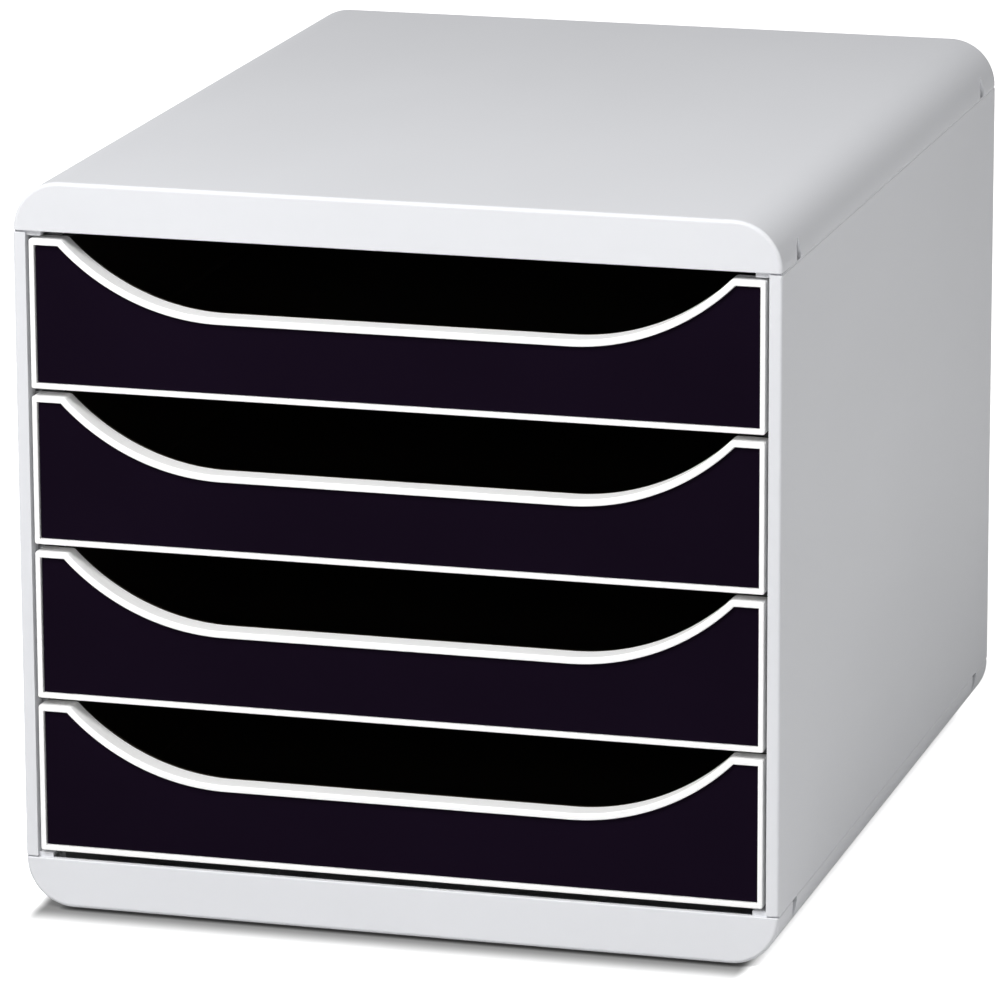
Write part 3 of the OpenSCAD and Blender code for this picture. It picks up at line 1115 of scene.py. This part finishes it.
def floor_material(finish, stage):
    """White floor: plain for the light it throws back, and lifted to white where seen."""
    material, tree, surface = new_material("floor_white")
    surface.inputs["Base Color"].default_value = (*finish.floor, 1)
    surface.inputs["Roughness"].default_value = 0.9
    surface.inputs["Specular IOR Level"].default_value = 0.0
    rays = add_node(tree, "LightPath")
    seen = maths(tree, "MAXIMUM")
    seen_through = maths(tree, "MAXIMUM")
    left, right = -HALF_WIDTH + stage.shadow_inset, HALF_WIDTH - 2 * stage.shadow_inset
    front, rear = FRONT_Y, REAR_Y - stage.shadow_front
    # Painted shadow: a soft dark patch round the object's footprint, shifted to reach the front
    # and left, times ambient occlusion at the foot.
    shadow = add_node(tree, "Group", {
        "Middle": ((left + right) / 2, (front + rear) / 2, 0),
        "Half": ((right - left) / 2, (rear - front) / 2, 1),
        "Reach": (stage.shadow_side, stage.shadow_front, 1),
        "Darkest": stage.shadow_darkest,
        "Contact": stage.contact_reach,
    }, node_tree=shadow_group())
    level = add_node(
        tree, "MapRange", {"To Min": stage.floor_gloss, "To Max": stage.floor_lift})
    lift = maths(tree, "MULTIPLY")
    bright = add_node(tree, "BsdfDiffuse")
    glow = add_node(tree, "Emission")
    glow_here = maths(tree, "MULTIPLY")
    place = add_node(tree, "TexCoord")
    distance = add_node(tree, "VectorMath", operation="LENGTH")
    glow_there = add_node(tree, "MapRange", {
        "From Min": stage.glow_near, "From Max": stage.glow_far, "To Min": stage.floor_glow})
    glow_level = maths(tree, "MULTIPLY")
    together = add_node(tree, "AddShader")
    choose = add_node(tree, "MixShader")
    wire(
        tree,
        (rays, "Is Camera Ray", seen, 0),
        (rays, "Is Glossy Ray", seen, 1),
        (seen, 0, seen_through, 0),
        (rays, "Is Transmission Ray", seen_through, 1),
        (rays, "Is Camera Ray", level, "Value"),
        (shadow, "Light", lift, 0),
        (level, "Result", lift, 1),
        (lift, 0, bright, "Color"),
        (seen_through, 0, choose, 0),
        (surface, 0, choose, 1),
        (rays, "Is Camera Ray", glow_here, 0),
        (shadow, "Light", glow_here, 1),
        (glow_here, 0, glow_level, 0),
        (place, "Object", distance, 0),
        (distance, "Value", glow_there, "Value"),
        (glow_there, "Result", glow_level, 1),
        (glow_level, 0, glow, "Strength"),
        (bright, 0, together, 0),
        (glow, 0, together, 1),
        (together, 0, choose, 2),
        (choose, 0, tree.nodes["Material Output"], "Surface"),
    )
    return material


def build_world(stage):
    """Soft even light all round, seen as white behind the object."""
    world = bpy.data.worlds.new("studio")
    bpy.context.scene.world = world
    world.use_nodes = True
    tree = world.node_tree
    light = tree.nodes["Background"]
    light.inputs["Color"].default_value = WHITE
    light.inputs["Strength"].default_value = stage.sky
    white = add_node(tree, "Background", {"Color": WHITE, "Strength": 1.0})
    rays = add_node(tree, "LightPath")
    mix = add_node(tree, "MixShader")
    wire(
        tree,
        (rays, "Is Camera Ray", mix, 0),
        (light, 0, mix, 1),
        (white, 0, mix, 2),
        (mix, 0, tree.nodes["World Output"], "Surface"),
    )


def add_soft_light(name, place, size, power):
    """A square lamp at a place, turned to the middle of the object."""
    bpy.ops.object.light_add(type="AREA", location=place)
    lamp = bpy.context.object
    lamp.name = name
    lamp.data.shape = "SQUARE"
    lamp.data.size = size
    lamp.data.energy = power
    lamp.visible_camera = False
    lamp.rotation_euler = (AIM - Vector(place)).to_track_quat("-Z", "Y").to_euler()


def add_camera(stage):
    """The camera at the photograph's place and angle."""
    bpy.ops.object.camera_add(location=(stage.camera_x, stage.camera_y, stage.camera_z))
    camera = bpy.context.object
    camera.data.lens = stage.lens
    camera.data.sensor_width = 36.0
    camera.data.clip_start = 0.05
    camera.data.clip_end = 100.0
    turn = (
        Matrix.Rotation(stage.turn, 4, "Z")
        @ Matrix.Rotation(math.pi / 2 - stage.tilt, 4, "X")
        @ Matrix.Rotation(stage.roll, 4, "Z")
    )
    camera.rotation_euler = turn.to_euler()
    bpy.context.scene.camera = camera


class TRAY_STACK_OT_stage(bpy.types.Operator):
    """Set the floor, the lights and the camera"""

    bl_idname = "tray_stack.stage"
    bl_label = "Stage"

    def execute(self, context):
        finish, stage = settings("finish", "stage")
        add_camera(stage)
        build_world(stage)
        bpy.ops.mesh.primitive_plane_add(size=stage.floor_size, location=(0, 0, 0))
        floor = context.object
        floor.name = "floor"
        floor.data.materials.append(floor_material(finish, stage))
        for name, (place, size) in LAMPS.items():
            add_soft_light(name, place, size, getattr(stage, name))
        context.scene.view_settings.view_transform = "Standard"
        return {"FINISHED"}


class TRAY_STACK_PT_panel(bpy.types.Panel):
    """Sidebar panel with one button for each group of pieces"""

    bl_idname = "TRAY_STACK_PT_panel"
    bl_label = "Tray Stack"
    bl_space_type = "VIEW_3D"
    bl_region_type = "UI"
    bl_category = "Tray Stack"

    def draw(self, context):
        for operator in OPERATORS:
            self.layout.operator(operator.bl_idname)
        for holder, group in HOLDERS:
            box = self.layout.box()
            box.label(text=group.__name__)
            for name in group.__annotations__:
                box.prop(getattr(context.scene, holder), name)


OPERATORS = (
    TRAY_STACK_OT_stage,
    TRAY_STACK_OT_caps,
    TRAY_STACK_OT_side_panels,
    TRAY_STACK_OT_back_panel,
    TRAY_STACK_OT_feet,
    TRAY_STACK_OT_trays,
    TRAY_STACK_OT_fronts,
)
HOLDERS = (
    ("stack_casing", CasingShape),
    ("stack_front", FrontShape),
    ("stack_tray", TrayShape),
    ("stack_finish", Finish),
    ("stack_stage", StageLook),
)


def register():
    """Registers the classes and gives the scene its settings."""
    for holder, group in HOLDERS:
        bpy.utils.register_class(group)
        setattr(bpy.types.Scene, holder, bpy.props.PointerProperty(type=group))
    for operator in OPERATORS:
        bpy.utils.register_class(operator)
    bpy.utils.register_class(TRAY_STACK_PT_panel)


def unregister():
    """Undoes what register did."""
    bpy.utils.unregister_class(TRAY_STACK_PT_panel)
    for operator in reversed(OPERATORS):
        bpy.utils.unregister_class(operator)
    for holder, group in reversed(HOLDERS):
        delattr(bpy.types.Scene, holder)
        bpy.utils.unregister_class(group)


def main():
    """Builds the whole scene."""
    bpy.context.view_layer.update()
    register()
    bpy.ops.tray_stack.stage()
    bpy.ops.tray_stack.caps()
    bpy.ops.tray_stack.side_panels()
    bpy.ops.tray_stack.back_panel()
    bpy.ops.tray_stack.feet()
    bpy.ops.tray_stack.trays()
    bpy.ops.tray_stack.fronts()


if __name__ == "__main__":
    main()
